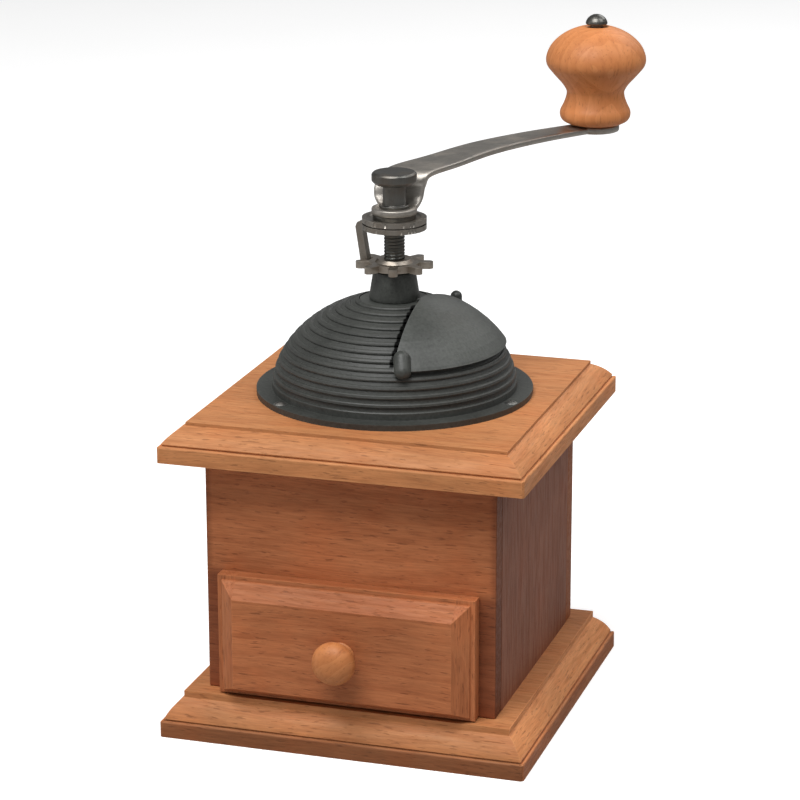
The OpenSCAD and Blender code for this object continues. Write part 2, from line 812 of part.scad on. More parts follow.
// Turned wooden grip: flared foot, waist and a broad bulb
module crank_grip() {
    color("sandybrown") translate([grip_x, grip_y, grip_z]) difference() {
        rotate_extrude() polygon(concat(
            [[0, 0], [10.6, 0]],
            arc_points(10.9, 3.9, 2.8, 3.4, -80, 45, 5),
            [[12.1, 8], [11.4, 10], [11.1, 11.8], [11.4, 13.2], [12.9, 15.6], [15.1, 18], [17.1, 20.3]],
            arc_points(grip_r - 13, 24.6, 13, 7.6, -20, 20, 4),
            arc_points(0, 22.9, grip_r + 0.5, 15.2, 22, 80, 7),
            [[0, 38.1]]));
        translate([0, 0, -1]) cylinder(r = axle_r + run_gap, h = 41);
    }
}

base_board();
front_panel();
back_panel();
left_wall();
right_wall();
drawer_shelf();
top_board();
base_screws();
drawer_front();
drawer_left_side();
drawer_right_side();
drawer_back();
drawer_bottom();
drawer_knob();
knob_screw();
dome_hopper();
flange_screws();
shutter_stop();
neck_sleeve();
upper_bush();
hopper_shutter();
shutter_tab();
burr_housing();
outer_burr();
bearing_bridge();
lower_bush();
bridge_screws();
spindle_spring();
thrust_washer();
adjusting_nut();
spindle();
inner_burr();
burr_nut();
spring_washer();
lock_plate();
crank_spacer();
crank_arm();
crank_nut();
grip_axle();
crank_grip();
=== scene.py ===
import math
import bpy
import bmesh
from mathutils import Matrix, Vector


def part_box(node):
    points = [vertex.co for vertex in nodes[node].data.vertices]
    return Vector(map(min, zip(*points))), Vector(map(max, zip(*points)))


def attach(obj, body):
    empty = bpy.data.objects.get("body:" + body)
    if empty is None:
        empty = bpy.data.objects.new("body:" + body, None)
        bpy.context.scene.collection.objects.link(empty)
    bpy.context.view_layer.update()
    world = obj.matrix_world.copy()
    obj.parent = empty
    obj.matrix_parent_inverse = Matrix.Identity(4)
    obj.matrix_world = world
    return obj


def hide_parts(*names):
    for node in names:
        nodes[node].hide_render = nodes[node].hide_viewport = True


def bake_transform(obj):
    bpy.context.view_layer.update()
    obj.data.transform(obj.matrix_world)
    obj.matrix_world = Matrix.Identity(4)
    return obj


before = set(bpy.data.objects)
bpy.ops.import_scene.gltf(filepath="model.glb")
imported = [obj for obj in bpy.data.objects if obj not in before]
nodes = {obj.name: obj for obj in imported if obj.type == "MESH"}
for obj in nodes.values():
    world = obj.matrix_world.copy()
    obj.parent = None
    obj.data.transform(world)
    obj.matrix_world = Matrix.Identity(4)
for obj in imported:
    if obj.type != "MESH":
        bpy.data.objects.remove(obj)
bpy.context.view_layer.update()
scene = bpy.context.scene
MM = 0.001


# ---------------------------------------------------------------- materials
# the wave texture's scale that gives rings one metre apart
RINGS_PER_SPACING = 0.314


class Shader:
    """A small wrapper that keeps node trees short to write."""

    def __init__(self, name, rough, metallic=0.0, coat=0.0, coat_rough=0.35, specular=0.5):
        self.material = bpy.data.materials.new(name)
        self.material.use_nodes = True
        self.tree = self.material.node_tree
        self.tree.nodes.clear()
        out = self.tree.nodes.new("ShaderNodeOutputMaterial")
        self.bsdf = self.tree.nodes.new("ShaderNodeBsdfPrincipled")
        self.tree.links.new(self.bsdf.outputs[0], out.inputs[0])
        self.bsdf.inputs["Roughness"].default_value = rough
        self.bsdf.inputs["Metallic"].default_value = metallic
        self.bsdf.inputs["Coat Weight"].default_value = coat
        self.bsdf.inputs["Coat Roughness"].default_value = coat_rough
        self.bsdf.inputs["Specular IOR Level"].default_value = specular
        self.bsdf.inputs["IOR"].default_value = 1.5
        coords = self.tree.nodes.new("ShaderNodeTexCoord")
        self.place = coords.outputs["Object"]
        self.facing = coords.outputs["Normal"]

    def put(self, socket, value):
        if isinstance(value, bpy.types.NodeSocket):
            self.tree.links.new(value, socket)
        elif value is not None:
            socket.default_value = value

    def map(self, vector, move=(0, 0, 0), turn=(0, 0, 0), scale=(1, 1, 1)):
        n = self.tree.nodes.new("ShaderNodeMapping")
        self.put(n.inputs["Vector"], vector)
        n.inputs["Location"].default_value = move
        n.inputs["Rotation"].default_value = turn
        n.inputs["Scale"].default_value = scale
        return n.outputs[0]

    def noise(self, vector, scale, detail=3.0, rough=0.55, colour=False):
        n = self.tree.nodes.new("ShaderNodeTexNoise")
        self.put(n.inputs["Vector"], vector)
        n.inputs["Scale"].default_value = scale
        n.inputs["Detail"].default_value = detail
        n.inputs["Roughness"].default_value = rough
        return n.outputs["Color" if colour else "Fac"]

    def rings(self, vector, spacing, detail_scale):
        """Growth rings round the x axis, spacing apart in metres."""
        n = self.tree.nodes.new("ShaderNodeTexWave")
        n.wave_type = "RINGS"
        n.rings_direction = "X"
        n.wave_profile = "SAW"
        self.put(n.inputs["Vector"], vector)
        n.inputs["Scale"].default_value = RINGS_PER_SPACING / spacing
        n.inputs["Distortion"].default_value = 1.2
        n.inputs["Detail"].default_value = 2.0
        n.inputs["Detail Scale"].default_value = detail_scale
        return n.outputs["Fac"]

    def voronoi(self, vector, scale):
        n = self.tree.nodes.new("ShaderNodeTexVoronoi")
        self.put(n.inputs["Vector"], vector)
        n.inputs["Scale"].default_value = scale
        return n.outputs["Distance"]

    def ramp(self, value, low, high, a=0.0, b=1.0):
        n = self.tree.nodes.new("ShaderNodeMapRange")
        n.interpolation_type = "SMOOTHSTEP"
        self.put(n.inputs["Value"], value)
        n.inputs["From Min"].default_value = low
        n.inputs["From Max"].default_value = high
        n.inputs["To Min"].default_value = a
        n.inputs["To Max"].default_value = b
        return n.outputs[0]

    def math(self, how, a, b=None):
        n = self.tree.nodes.new("ShaderNodeMath")
        n.operation = how
        self.put(n.inputs[0], a)
        self.put(n.inputs[1], b)
        return n.outputs[0]

    def vector(self, how, a, b=None):
        n = self.tree.nodes.new("ShaderNodeVectorMath")
        n.operation = how
        self.put(n.inputs[0], a)
        self.put(n.inputs[1], b)
        return n.outputs["Value" if how == "DOT_PRODUCT" else "Vector"]

    def mix(self, how, amount, a, b):
        n = self.tree.nodes.new("ShaderNodeMix")
        n.data_type = "RGBA"
        n.blend_type = how
        self.put(n.inputs[0], amount)
        self.put(n.inputs[6], (*a, 1) if isinstance(a, tuple) else a)
        self.put(n.inputs[7], (*b, 1) if isinstance(b, tuple) else b)
        return n.outputs[2]

    def parts(self, vector):
        n = self.tree.nodes.new("ShaderNodeSeparateXYZ")
        self.put(n.inputs[0], vector)
        return n.outputs

    def grey(self, value):
        n = self.tree.nodes.new("ShaderNodeCombineColor")
        for i in range(3):
            self.put(n.inputs[i], value)
        return n.outputs[0]

    def edge(self, radius, low=0.0, high=0.06):
        """1 on convex edges and in tight corners, 0 on open faces."""
        n = self.tree.nodes.new("ShaderNodeBevel")
        n.samples = 4
        n.inputs["Radius"].default_value = radius
        g = self.tree.nodes.new("ShaderNodeNewGeometry")
        same = self.vector("DOT_PRODUCT", n.outputs[0], g.outputs["Normal"])
        return self.ramp(self.math("SUBTRACT", 1.0, same), low, high)

    def bump(self, height, distance, strength=1.0, after=None):
        n = self.tree.nodes.new("ShaderNodeBump")
        self.put(n.inputs["Height"], height)
        n.inputs["Distance"].default_value = distance
        n.inputs["Strength"].default_value = strength
        self.put(n.inputs["Normal"], after)
        return n.outputs[0]

    def done(self, colour, normal=None, rough=None):
        self.put(self.bsdf.inputs["Base Color"], colour)
        self.put(self.bsdf.inputs["Normal"], normal)
        self.put(self.bsdf.inputs["Roughness"], rough)
        return self.material


GRAIN_TURN = {"X": (0, 0, 0), "Y": (0, 0, -math.pi / 2), "Z": (0, math.pi / 2, 0)}


def mitred(flat):
    """Picks the strips left and right of a board's flat, where the grain runs along Y."""
    def pick(s):
        p = s.parts(s.place)
        x, y = s.math("ABSOLUTE", p[0]), s.math("ABSOLUTE", p[1])
        return s.math("MULTIPLY", s.math("GREATER_THAN", x, y), s.math("GREATER_THAN", x, flat))
    return pick


def beyond_x(limit):
    """Picks what lies further from the middle than the limit, to the left or right."""
    return lambda s: s.math("GREATER_THAN", s.math("ABSOLUTE", s.parts(s.place)[0]), limit)


def shade_beside_drawer(s):
    """Picks the strips of the front panel beside the drawer's front and along its upright edges, which are
    darkened there as painted shade.
    """
    p = s.parts(s.place)
    x = s.math("ABSOLUTE", p[0])
    near = s.math("MULTIPLY", s.ramp(x, 47.8 * MM, 49.4 * MM), s.ramp(p[2], 66 * MM, 60 * MM))
    return s.math("MAXIMUM", near, s.ramp(x, 52.2 * MM, 55.2 * MM, 0.0, 0.7))


def shade_below(height):
    """Picks what lies below the height, the base's lip, which is darkened there as painted shade."""
    soft = 0.6 * MM
    return lambda s: s.ramp(s.parts(s.place)[2], height + soft, height - soft)


def wood(name, light, middle, dark, seed, grain="X", pores=1.0, bands=1.0, rough=0.54,
         pith=(0.06, -0.11), wear=0.30, other=None, end=None, painted_shade=None):
    """Stained close-grained timber: soft bands, fine fibres, short dark pores, pale flecks, blotches.

    grain is the axis the fibres run along and pith the heart's place beside it, in metres. pores,
    bands and wear say how much of each shows; wear lightens the edges, partly as rubbing and partly as a
    painted highlight. other is (picker, grain, tone) for strips of their own grain, whose tone is partly
    their own timber and partly painted light, end the axis of the end grain, and painted_shade (picker,
    share) for places darkened as painted shade."""
    s = Shader(name, rough, specular=0.22)
    # x now runs along the grain
    along = s.map(s.place, turn=GRAIN_TURN[grain])
    if other:
        across = s.map(s.place, turn=GRAIN_TURN[other[1]], move=(0.9, 0.4, 0.2))
        along = s.mix("MIX", other[0](s), along, across)
    along = s.map(along, move=(seed * 0.37, seed * 0.11, seed * 0.23))
    slow = s.map(along, scale=(0.30, 1, 1))
    warp = s.vector("SUBTRACT", s.noise(slow, 16, 3, colour=True), (0.5, 0.5, 0.5))
    warp = s.vector("MULTIPLY", warp, (0.0, 0.014, 0.014))
    bent = s.vector("ADD", along, warp)
    ring = s.rings(s.map(bent, move=(0, *pith), scale=(0.25, 1, 1)), 6.0 * MM, 2.0)
    band = s.ramp(ring, 0.0, 1.0)
    fibre = s.noise(s.map(bent, scale=(0.06, 1, 1)), 1900, 4, 0.6)
    streak = s.noise(s.map(bent, scale=(0.10, 1, 1)), 560, 4, 0.62)
    pore = s.ramp(s.noise(s.map(bent, scale=(0.13, 1, 1)), 1500, 2, 0.5), 0.60, 0.70)
    fleck = s.ramp(s.noise(s.map(bent, move=(3, 1, 2), scale=(0.20, 1, 1)), 900, 2, 0.5), 0.62, 0.74)
    cloud = s.noise(s.map(along, scale=(0.6, 1, 1)), 24, 3, 0.5)
    cloud_2 = s.noise(s.map(along, move=(5, 7, 3)), 52, 2, 0.5)
    colour = s.mix("MIX", s.math("MULTIPLY", band, 0.42 * bands), middle, light)
    colour = s.mix("MIX", s.ramp(streak, 0.44, 0.74, 0.0, 0.42), colour, dark)
    colour = s.mix("MIX", s.ramp(streak, 0.50, 0.28, 0.0, 0.30), colour, light)
    colour = s.mix("MULTIPLY", 1.0, colour, s.grey(s.ramp(fibre, 0.25, 0.75, 0.86, 1.12)))
    colour = s.mix("MULTIPLY", 1.0, colour, s.grey(s.ramp(cloud, 0.25, 0.75, 0.85, 1.12)))
    redder = s.mix("MULTIPLY", 1.0, colour, (1.02, 0.90, 0.82))
    colour = s.mix("MIX", s.ramp(cloud_2, 0.45, 0.70, 0.0, 0.55), colour, redder)
    colour = s.mix("MIX", s.math("MULTIPLY", pore, 0.45 * pores), colour, tuple(c * 0.42 for c in dark))
    colour = s.mix("MIX", s.math("MULTIPLY", fleck, 0.20), colour, light)
    # the strips' tone is partly their own timber and partly painted light, lighter to stand for light falling
    # on the slopes
    if other:
        toned_and_lit = s.mix("MULTIPLY", 1.0, colour, (other[2],) * 3)
        colour = s.mix("MIX", other[0](s), colour, toned_and_lit)
    if end:
        cut = s.ramp(s.math("ABSOLUTE", s.parts(s.facing)["XYZ".index(end)]), 0.6, 0.8)
        colour = s.mix("MIX", s.math("MULTIPLY", cut, 0.55), colour, tuple(c * 0.55 for c in dark))
    # edges lightened, partly as rubbing wear and partly as a painted highlight along them
    if wear:
        rubbed = tuple(c * 1.15 for c in light)
        colour = s.mix("MIX", s.math("MULTIPLY", s.edge(0.8 * MM), wear), colour, rubbed)
    # painted shade: the picked places are darkened towards a dull red-brown to stand for the shade that falls
    # there
    if painted_shade:
        shaded = s.mix("MULTIPLY", 1.0, colour, (0.42, 0.34, 0.36))
        colour = s.mix("MIX", s.math("MULTIPLY", painted_shade[0](s), painted_shade[1]), colour, shaded)
    height = s.math("SUBTRACT", s.math("MULTIPLY", fibre, 0.35), pore)
    normal = s.bump(height, 0.12 * MM, 0.5)
    normal = s.bump(cloud_2, 0.5 * MM, 0.10, after=normal)
    return s.done(colour, normal, s.ramp(streak, 0.3, 0.7, rough - 0.06, rough + 0.10))


def turned_wood(name, grain, seed, tone):
    """Varnished beech, grain along the lathe axis, with short pores and soft growth bands."""
    light, middle, dark = (tuple(c * tone for c in t) for t in
                           ((0.68, 0.265, 0.092), (0.60, 0.215, 0.070), (0.43, 0.130, 0.038)))
    s = Shader(name, 0.50, coat=0.05, coat_rough=0.45, specular=0.30)
    along = s.map(s.place, turn=GRAIN_TURN[grain])
    along = s.map(along, move=(seed * 0.37, seed * 0.11, seed * 0.23))
    slow = s.map(along, scale=(0.5, 1, 1))
    warp = s.vector("SUBTRACT", s.noise(slow, 38, 2, colour=True), (0.5, 0.5, 0.5))
    bent = s.vector("ADD", along, s.vector("MULTIPLY", warp, (0.0, 0.02, 0.02)))
    ring = s.rings(s.map(bent, move=(0, 0.034, -0.052), scale=(0.3, 1, 1)), 4.5 * MM, 1.5)
    streak = s.noise(s.map(bent, scale=(0.12, 1, 1)), 620, 3, 0.6)
    pore = s.ramp(s.noise(s.map(bent, scale=(0.14, 1, 1)), 1600, 2, 0.5), 0.60, 0.70)
    cloud = s.noise(along, 55, 2, 0.5)
    colour = s.mix("MIX", s.ramp(ring, 0.0, 1.0, 0.0, 0.75), middle, light)
    colour = s.mix("MIX", s.ramp(streak, 0.45, 0.75, 0.0, 0.38), colour, dark)
    colour = s.mix("MULTIPLY", 1.0, colour, s.grey(s.ramp(cloud, 0.3, 0.7, 0.92, 1.07)))
    colour = s.mix("MIX", s.math("MULTIPLY", pore, 0.35), colour, (0.24, 0.08, 0.02))
    normal = s.bump(s.math("SUBTRACT", s.math("MULTIPLY", streak, 0.3), pore), 0.08 * MM, 0.4)
    return s.done(colour, normal, s.ramp(streak, 0.3, 0.7, 0.44, 0.56))


def iron(name, base=(0.035, 0.037, 0.033), rough=0.50, grain=1.0, wear=0.4, line=None):
    """Satin black enamel over a fine sand-cast surface, rubbed paler along the edges.

    line is (x, width, y, z): a painted shadow line along Y at x, in front of y and above z, in metres, dark
    paint on the dome standing for the shadow beside the shutter blade's edge."""
    s = Shader(name, rough, coat=0.04, coat_rough=0.40)
    big = s.noise(s.place, 42, 3, 0.55)
    fine = s.noise(s.place, 900, 4, 0.62)
    pit = s.ramp(s.voronoi(s.map(s.place, scale=(1, 1, 1.2)), 520), 0.10, 0.34)
    deep, pale = (tuple(c * share for c in base) for share in (0.82, 1.22))
    colour = s.mix("MIX", s.ramp(big, 0.3, 0.7), deep, pale)
    colour = s.mix("MULTIPLY", 1.0, colour, s.grey(s.ramp(fine, 0.25, 0.75, 0.80, 1.22)))
    colour = s.mix("MULTIPLY", 0.30 * grain, colour, s.grey(pit))
    patchy = s.ramp(s.noise(s.place, 260, 3), 0.35, 0.65, 0.25, 1.0)
    rub = s.math("MULTIPLY", s.edge(0.55 * MM, 0.01, 0.10), patchy)
    colour = s.mix("MIX", s.math("MULTIPLY", rub, wear), colour, (0.13, 0.132, 0.124))
    # painted shadow: a near-black line on the dome where the shutter blade's edge would cast its shadow
    if line:
        p = s.parts(s.place)
        off = s.math("ABSOLUTE", s.math("SUBTRACT", p[0], line[0]))
        painted_shadow = s.ramp(off, line[1] * 0.5, line[1] * 0.9, 1.0, 0.0)
        painted_shadow = s.math("MULTIPLY", painted_shadow, s.math("LESS_THAN", p[1], line[2]))
        painted_shadow = s.math("MULTIPLY", painted_shadow, s.math("GREATER_THAN", p[2], line[3]))
        colour = s.mix("MIX", s.math("MULTIPLY", painted_shadow, 0.95), colour, (0.002, 0.002, 0.002))
        # the painted shadow is made a black metal, which throws nothing back, so no gloss lightens it
        s.put(s.bsdf.inputs["Metallic"], painted_shadow)
    normal = s.bump(s.noise(s.place, 150, 3, 0.5), 0.35 * MM, 0.35 * grain)
    normal = s.bump(fine, 0.12 * MM, 0.65 * grain, after=normal)
    normal = s.bump(pit, 0.06 * MM, 0.35 * grain, after=normal)
    return s.done(colour, normal, s.ramp(big, 0.3, 0.7, rough - 0.07, rough + 0.10))


def steel(name, base, rough, grain, brush, tarnish, tint=(0.30, 0.20, 0.12)):
    """Plated metal: brush lines along one way, cloudy tarnish, dark spots and paler rubbed edges."""
    s = Shader(name, rough, metallic=1.0)
    along = s.map(s.place, turn=GRAIN_TURN[grain])
    lines = s.noise(s.map(along, scale=(0.05, 1, 1)), 2600, 3, 0.6)
    cloud = s.noise(s.place, 120, 4, 0.6)
    spots = s.ramp(s.noise(s.place, 430, 3, 0.6), 0.56, 0.70)
    stain = tuple(b * 0.55 + t * 0.25 for b, t in zip(base, tint))
    colour = s.mix("MIX", s.ramp(cloud, 0.40, 0.72, 0.0, tarnish), base, stain)
    brushed = s.ramp(lines, 0.25, 0.75, 1 - 0.12 * brush, 1 + 0.10 * brush)
    colour = s.mix("MULTIPLY", 1.0, colour, s.grey(brushed))
    colour = s.mix("MIX", s.math("MULTIPLY", spots, 0.35 * tarnish), colour, tuple(b * 0.35 for b in base))
    pale = tuple(b * 1.45 + 0.06 for b in base)
    colour = s.mix("MIX", s.math("MULTIPLY", s.edge(0.4 * MM, 0.01, 0.10), 0.5), colour, pale)
    normal = s.bump(lines, 0.03 * MM, 0.5 * brush)
    normal = s.bump(s.noise(s.place, 700, 3, 0.6), 0.05 * MM, 0.4, after=normal)
    return s.done(colour, normal, s.ramp(cloud, 0.35, 0.70, rough - 0.06, rough + 0.16))


# one stained timber in three tones by facing: the front's a little darker than the top's and the side walls'
# much darker, as painted shade on the faces that get less light
FRONT = dict(light=(0.52, 0.190, 0.076), middle=(0.43, 0.144, 0.055), dark=(0.26, 0.078, 0.029))
TOP = dict(light=(0.56, 0.248, 0.098), middle=(0.485, 0.195, 0.074), dark=(0.30, 0.104, 0.036))
SIDE_IN_SHADE = dict(light=(0.295, 0.112, 0.061), middle=(0.24, 0.087, 0.046), dark=(0.16, 0.054, 0.029))
PLAIN = dict(light=(0.66, 0.46, 0.27), middle=(0.56, 0.36, 0.20), dark=(0.38, 0.22, 0.11))

# half widths of the two boards' flats and of the drawer's raised field, height of the base's lip
BASE_FLAT, TOP_FLAT, FIELD, BASE_LIP = 62.5 * MM, 60.5 * MM, 41.9 * MM, 6.2 * MM

looks = {
    # base board: its lip darkened as painted shade, its mitred strips lighter partly as painted light
    "base_board": wood("wood_base_board", seed=1.0, other=(mitred(BASE_FLAT), "Y", 1.40),
                       painted_shade=(shade_below(BASE_LIP), 0.75), **TOP),
    # top board: its mitred strips lighter, partly their own timber and partly painted light
    "top_board": wood("wood_top_board", seed=2.3, pith=(0.02, -0.16),
                      other=(mitred(TOP_FLAT), "Y", 1.22), **TOP),
    # front panel: darkened beside the drawer front and along its upright edges as painted shade
    "front_panel": wood("wood_front_panel", seed=3.7, pith=(0.10, -0.03), end="X",
                        painted_shade=(shade_beside_drawer, 0.8), **FRONT),
    "back_panel": wood("wood_back_panel", seed=4.9, pith=(0.10, -0.03), end="X", **FRONT),
    "left_wall": wood("wood_left_wall", grain="Z", seed=5.2, bands=0.5, pores=0.6, **SIDE_IN_SHADE),
    "right_wall": wood("wood_right_wall", grain="Z", seed=6.1, bands=0.5, pores=0.6, **SIDE_IN_SHADE),
    "drawer_front": wood("wood_drawer_front", seed=7.4, pith=(0.12, -0.05),
                         other=(beyond_x(FIELD), "Z", 1.0), **FRONT),
    "drawer_shelf": wood("wood_shelf", seed=8.5, wear=0, **PLAIN),
    "drawer_side": wood("wood_drawer_side", grain="Y", seed=9.1, wear=0.15, rough=0.6, **PLAIN),
    "drawer_back": wood("wood_drawer_back", seed=10.3, wear=0.15, rough=0.6, **PLAIN),
    "drawer_bottom": wood("wood_drawer_bottom", grain="Y", seed=11.6, wear=0, rough=0.62, **PLAIN),
    "grip": turned_wood("wood_grip", "Z", 1.3, 1.0),
    "knob": turned_wood("wood_knob", "Y", 4.1, 0.84),
    # the dome carries a painted shadow line beside the shutter blade's left edge
    "iron": iron("iron_dome", line=(10.5 * MM, 1.4 * MM, -7 * MM, 140.5 * MM)),
    "iron_blade": iron("iron_blade", base=(0.058, 0.062, 0.056), rough=0.44, grain=0.6, wear=0.3),
    "iron_neck": iron("iron_neck", base=(0.040, 0.043, 0.038), rough=0.46),
    "iron_inside": iron("iron_inside", base=(0.036, 0.036, 0.034), rough=0.58),
    "burr": steel("steel_burr", (0.30, 0.30, 0.29), 0.42, "Z", 0.6, 0.4),
    "nut": steel("steel_nut", (0.40, 0.36, 0.31), 0.34, "X", 0.5, 0.7),
    "plate": steel("steel_plate", (0.30, 0.28, 0.25), 0.36, "Y", 0.5, 0.7),
    "dark": steel("steel_dark", (0.15, 0.148, 0.138), 0.36, "Z", 0.5, 0.6),
    "spindle": steel("steel_spindle", (0.11, 0.112, 0.105), 0.36, "Z", 0.4, 0.5),
    "arm": steel("steel_arm", (0.42, 0.395, 0.36), 0.42, "X", 1.0, 0.5),
    "screw": steel("steel_screw", (0.24, 0.24, 0.23), 0.42, "X", 0.3, 0.6),
    "spring": steel("steel_spring", (0.45, 0.45, 0.44), 0.30, "Z", 0.3, 0.3),
    "brass": steel("brass_bush", (0.62, 0.44, 0.19), 0.34, "Z", 0.6, 0.4, tint=(0.35, 0.18, 0.05)),
}


def dress(obj, look):
    obj.data.materials.clear()
    obj.data.materials.append(looks[look])
    for f in obj.data.polygons:
        f.material_index = 0


# ---------------------------------------------------------------- carried-over CAD nodes
def soften(name, width):
    """Rounds a CAD node's sharp edges a little, as sanding or casting does."""
    o = nodes[name]
    weld = o.modifiers.new("weld", "WELD")
    weld.merge_threshold = 2e-6
    flat = o.modifiers.new("flat", "DECIMATE")
    flat.decimate_type = "DISSOLVE"
    flat.angle_limit = math.radians(0.4)
    bevel = o.modifiers.new("bevel", "BEVEL")
    bevel.width = width
    bevel.segments = 3
    bevel.limit_method = "ANGLE"
    bevel.angle_limit = math.radians(30)
    bevel.use_clamp_overlap = True
    normals = o.modifiers.new("normals", "WEIGHTED_NORMAL")
    normals.keep_sharp = False


for name, look in {
    "base_board": "base_board", "top_board": "top_board", "front_panel": "front_panel",
    "back_panel": "back_panel", "left_wall": "left_wall", "right_wall": "right_wall",
    "drawer_front": "drawer_front", "drawer_shelf": "drawer_shelf", "drawer_left_side": "drawer_side",
    "drawer_right_side": "drawer_side", "drawer_back": "drawer_back", "drawer_bottom": "drawer_bottom",
    "dome_hopper": "iron", "hopper_shutter": "iron_blade", "shutter_tab": "iron_neck",
    "shutter_stop": "iron_neck", "neck_sleeve": "iron_neck", "burr_housing": "iron_inside",
    "outer_burr": "burr", "inner_burr": "burr", "bearing_bridge": "dark", "lower_bush": "brass",
    "upper_bush": "brass", "bridge_screws": "screw", "base_screws": "screw", "flange_screws": "screw",
    "knob_screw": "screw", "spindle_spring": "spring", "thrust_washer": "plate", "adjusting_nut": "nut",
    "burr_nut": "dark", "spring_washer": "plate", "lock_plate": "plate", "crank_spacer": "dark",
    "crank_nut": "dark", "grip_axle": "dark", "spindle": "spindle", "crank_arm": "arm",
    "crank_grip": "grip", "drawer_knob": "knob",
}.items():
    dress(nodes[name], look)

for name in ("base_board", "top_board"):
    soften(name, 0.9 * MM)
for name in ("front_panel", "back_panel", "left_wall", "right_wall"):
    soften(name, 0.6 * MM)
soften("drawer_front", 1.1 * MM)
for name in ("drawer_left_side", "drawer_right_side", "drawer_back", "drawer_bottom", "drawer_shelf"):
    soften(name, 0.5 * MM)
for name in ("lock_plate", "adjusting_nut", "crank_spacer", "thrust_washer", "neck_sleeve", "crank_nut",
             "grip_axle"):
    soften(name, 0.3 * MM)


# ---------------------------------------------------------------- detailed pieces
def mesh_piece(name, verts, faces, look, body, slot, stands_for):
    data = bpy.data.meshes.new(name)
    data.from_pydata([tuple(v) for v in verts], [], faces)
    bm = bmesh.new()
    bm.from_mesh(data)
    bmesh.ops.recalc_face_normals(bm, faces=bm.faces)
    bm.to_mesh(data)
    bm.free()
    for f in data.polygons:
        f.use_smooth = True
    o = bpy.data.objects.new(name, data)
    scene.collection.objects.link(o)
    data.materials.append(looks[look])
    if body:
        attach(o, body)
    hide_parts(stands_for)
    return o


def spline(points, steps):
    """Catmull-Rom curve through the points, any number of numbers in each."""
    out = []
    last = len(points) - 1
    for i in range(last):
        a, b, c, d = (points[max(0, min(last, i + k))] for k in (-1, 0, 1, 2))
        for k in range(steps):
            t = k / steps
            out.append([0.5 * (2 * q + (r - p) * t + (2 * p - 5 * q + 4 * r - s) * t * t
                               + (3 * q - p - 3 * r + s) * t ** 3) for p, q, r, s in zip(a, b, c, d)])
    out.append(list(points[-1]))
    return out


def lathe(profile, place, segments):
    """Closed ring of quads for an outline [radius, height] that starts and ends on the same bore."""
    verts, faces = [], []
    n = len(profile)
    for i in range(segments):
        a = 2 * math.pi * i / segments
        verts += [place @ Vector((r * math.cos(a), r * math.sin(a), h)) for r, h in profile]
    for i in range(segments):
        j = (i + 1) % segments
        for k in range(n):
            m = (k + 1) % n
            faces.append((i * n + k, j * n + k, j * n + m, i * n + m))
    return verts, faces


def outline(parts):
    """Joins straight corners and splined stretches, all in millimetres, into one outline in metres."""
    out = []
    for kind, points in parts:
        out += [list(p) for p in (spline(points, 6) if kind == "curve" else points)]
    clean = [out[0]]
    for p in out[1:]:
        if abs(p[0] - clean[-1][0]) + abs(p[1] - clean[-1][1]) > 1e-4:
            clean.append(p)
    return [(r * MM, h * MM) for r, h in clean]


def middle(low, high):
    return [(a + b) / 2 for a, b in zip(low, high)]


grip_low, grip_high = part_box("crank_grip")
grip_place = Matrix.Translation((*middle(grip_low, grip_high)[:2], grip_low[2]))
grip_outline = outline([
    ("line", [(2.6, 0.0), (9.9, 0.0), (10.6, 0.12)]),
    ("curve", [(11.1, 0.4), (12.5, 1.15), (13.4, 2.4), (13.68, 3.9), (13.4, 5.4), (12.45, 7.3), (11.55, 9.6),
               (11.12, 11.7), (11.4, 13.2), (12.85, 15.5), (15.05, 17.95), (17.1, 20.3), (18.7, 22.4),
               (19.27, 24.6), (18.9, 27.0), (17.7, 29.7), (15.8, 32.05), (13.2, 34.2), (10.2, 35.9),
               (7.2, 37.05), (5.4, 37.5), (4.7, 37.6)]),
    ("line", [(4.5, 37.2), (2.6, 37.1)]),
])
mesh_piece("grip_turned", *lathe(grip_outline, grip_place, 96), "grip", "grip", "turned_wood",
           "crank_grip")

knob_low, knob_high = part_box("drawer_knob")
knob_x, _, knob_z = middle(knob_low, knob_high)
knob_place = Matrix.Translation((knob_x, knob_high[1], knob_z)) @ Matrix.Rotation(math.pi / 2, 4, "X")
knob_outline = outline([
    ("line", [(1.65, 0.0), (5.35, 0.0)]),
    ("curve", [(5.3, 0.3), (4.6, 1.1), (4.25, 2.3), (4.5, 3.5), (5.5, 4.4), (6.9, 5.2), (7.8, 6.4),
               (8.08, 8.0), (7.75, 9.6), (6.7, 11.2), (5.1, 12.4), (3.0, 13.15), (1.2, 13.36),
               (0.02, 13.38)]),
    ("line", [(0.02, 10.4), (1.65, 9.0)]),
])
mesh_piece("knob_turned", *lathe(knob_outline, knob_place, 80), "knob", "drawer", "turned_wood",
           "drawer_knob")


